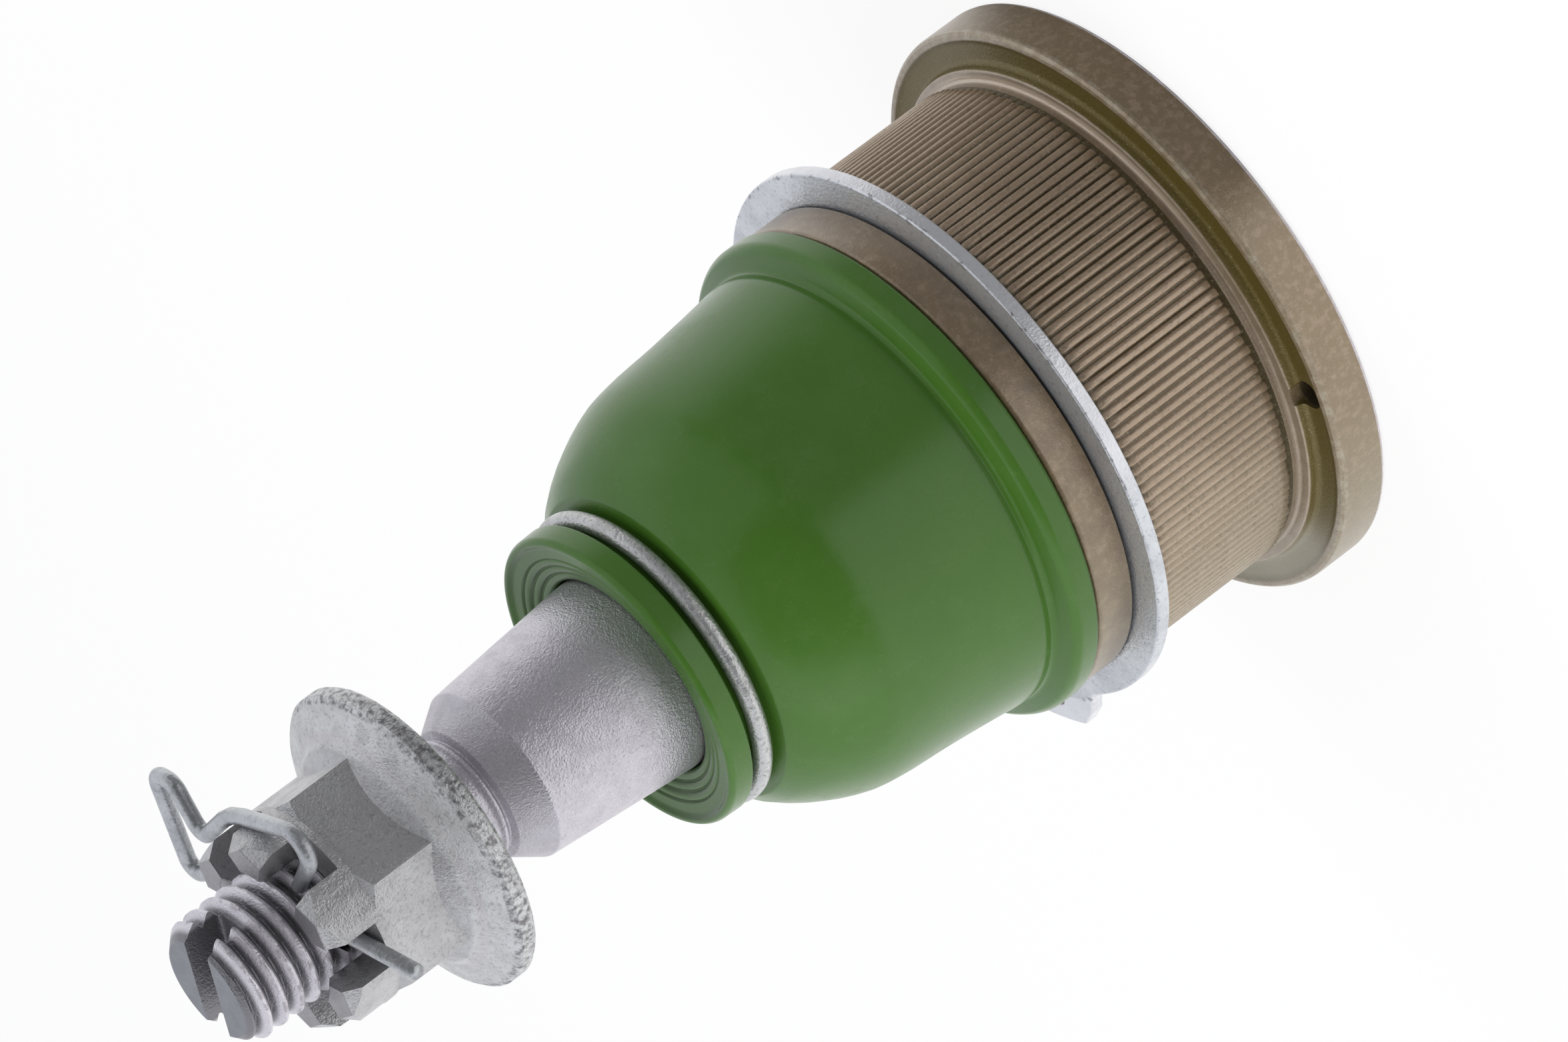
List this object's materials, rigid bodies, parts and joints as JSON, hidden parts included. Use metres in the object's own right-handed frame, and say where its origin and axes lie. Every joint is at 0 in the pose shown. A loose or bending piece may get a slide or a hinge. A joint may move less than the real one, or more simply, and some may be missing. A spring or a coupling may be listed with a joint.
{
  "type": "suspension ball joint",
  "caption": "Press-in suspension ball joint: flanged, serrated housing with snap ring, tapered stud in a rubber boot, castle nut and spring cotter.",
  "frame": {"origin": "on the joint's axis, at the back face of the housing's flange", "axes": "+Z along the stud, from the flange towards the thread; +X along the cotter's straight leg, towards its free end"},
  "size_m": [0.065, 0.067, 0.1235],
  "materials": {
    "housing_steel": "phosphated forging with turned shoulders, oily tan and olive",
    "cover_steel": "plated pressing",
    "seal_rubber": "matt black",
    "spring_steel": "plain spring steel",
    "bearing_plastic": "natural acetal",
    "stud_steel": "pale zinc plating",
    "boot_rubber": "glossy green rubber",
    "wire_steel": "zinc-plated wire",
    "ring_steel": "mottled zinc plating",
    "nut_steel": "mottled zinc plating, rough forged edges"
  },
  "bodies": {
    "housing": {"housing": "housing_steel", "cover_plate": "cover_steel", "cover_seal": "seal_rubber", "disc_spring": "spring_steel", "snap_ring": "ring_steel"},
    "socket": {"lower_bearing": "bearing_plastic", "upper_bearing": "bearing_plastic", "boot_insert_ring": "spring_steel", "boot": "boot_rubber"},
    "boot_neck": {"boot_clip": "wire_steel"},
    "stud": {"ball_stud": "stud_steel", "castle_nut": "nut_steel", "spring_cotter": "wire_steel"}
  },
  "joints": [
    {"name": "swivel_direction", "type": "hinge", "parent": "housing", "child": "socket", "pos_m": [0, 0, 0.024], "axis": [0, 0, 1], "continuous": true},
    {"name": "stud_tilt", "type": "hinge", "parent": "socket", "child": "boot_neck", "pos_m": [0, 0, 0.024], "axis": [0, 1, 0], "range_deg": [-20, 20], "deforming": ["boot"]},
    {"name": "stud_spin", "type": "hinge", "parent": "boot_neck", "child": "stud", "pos_m": [0, 0, 0.024], "axis": [0, 0, 1], "continuous": true}
  ]
}
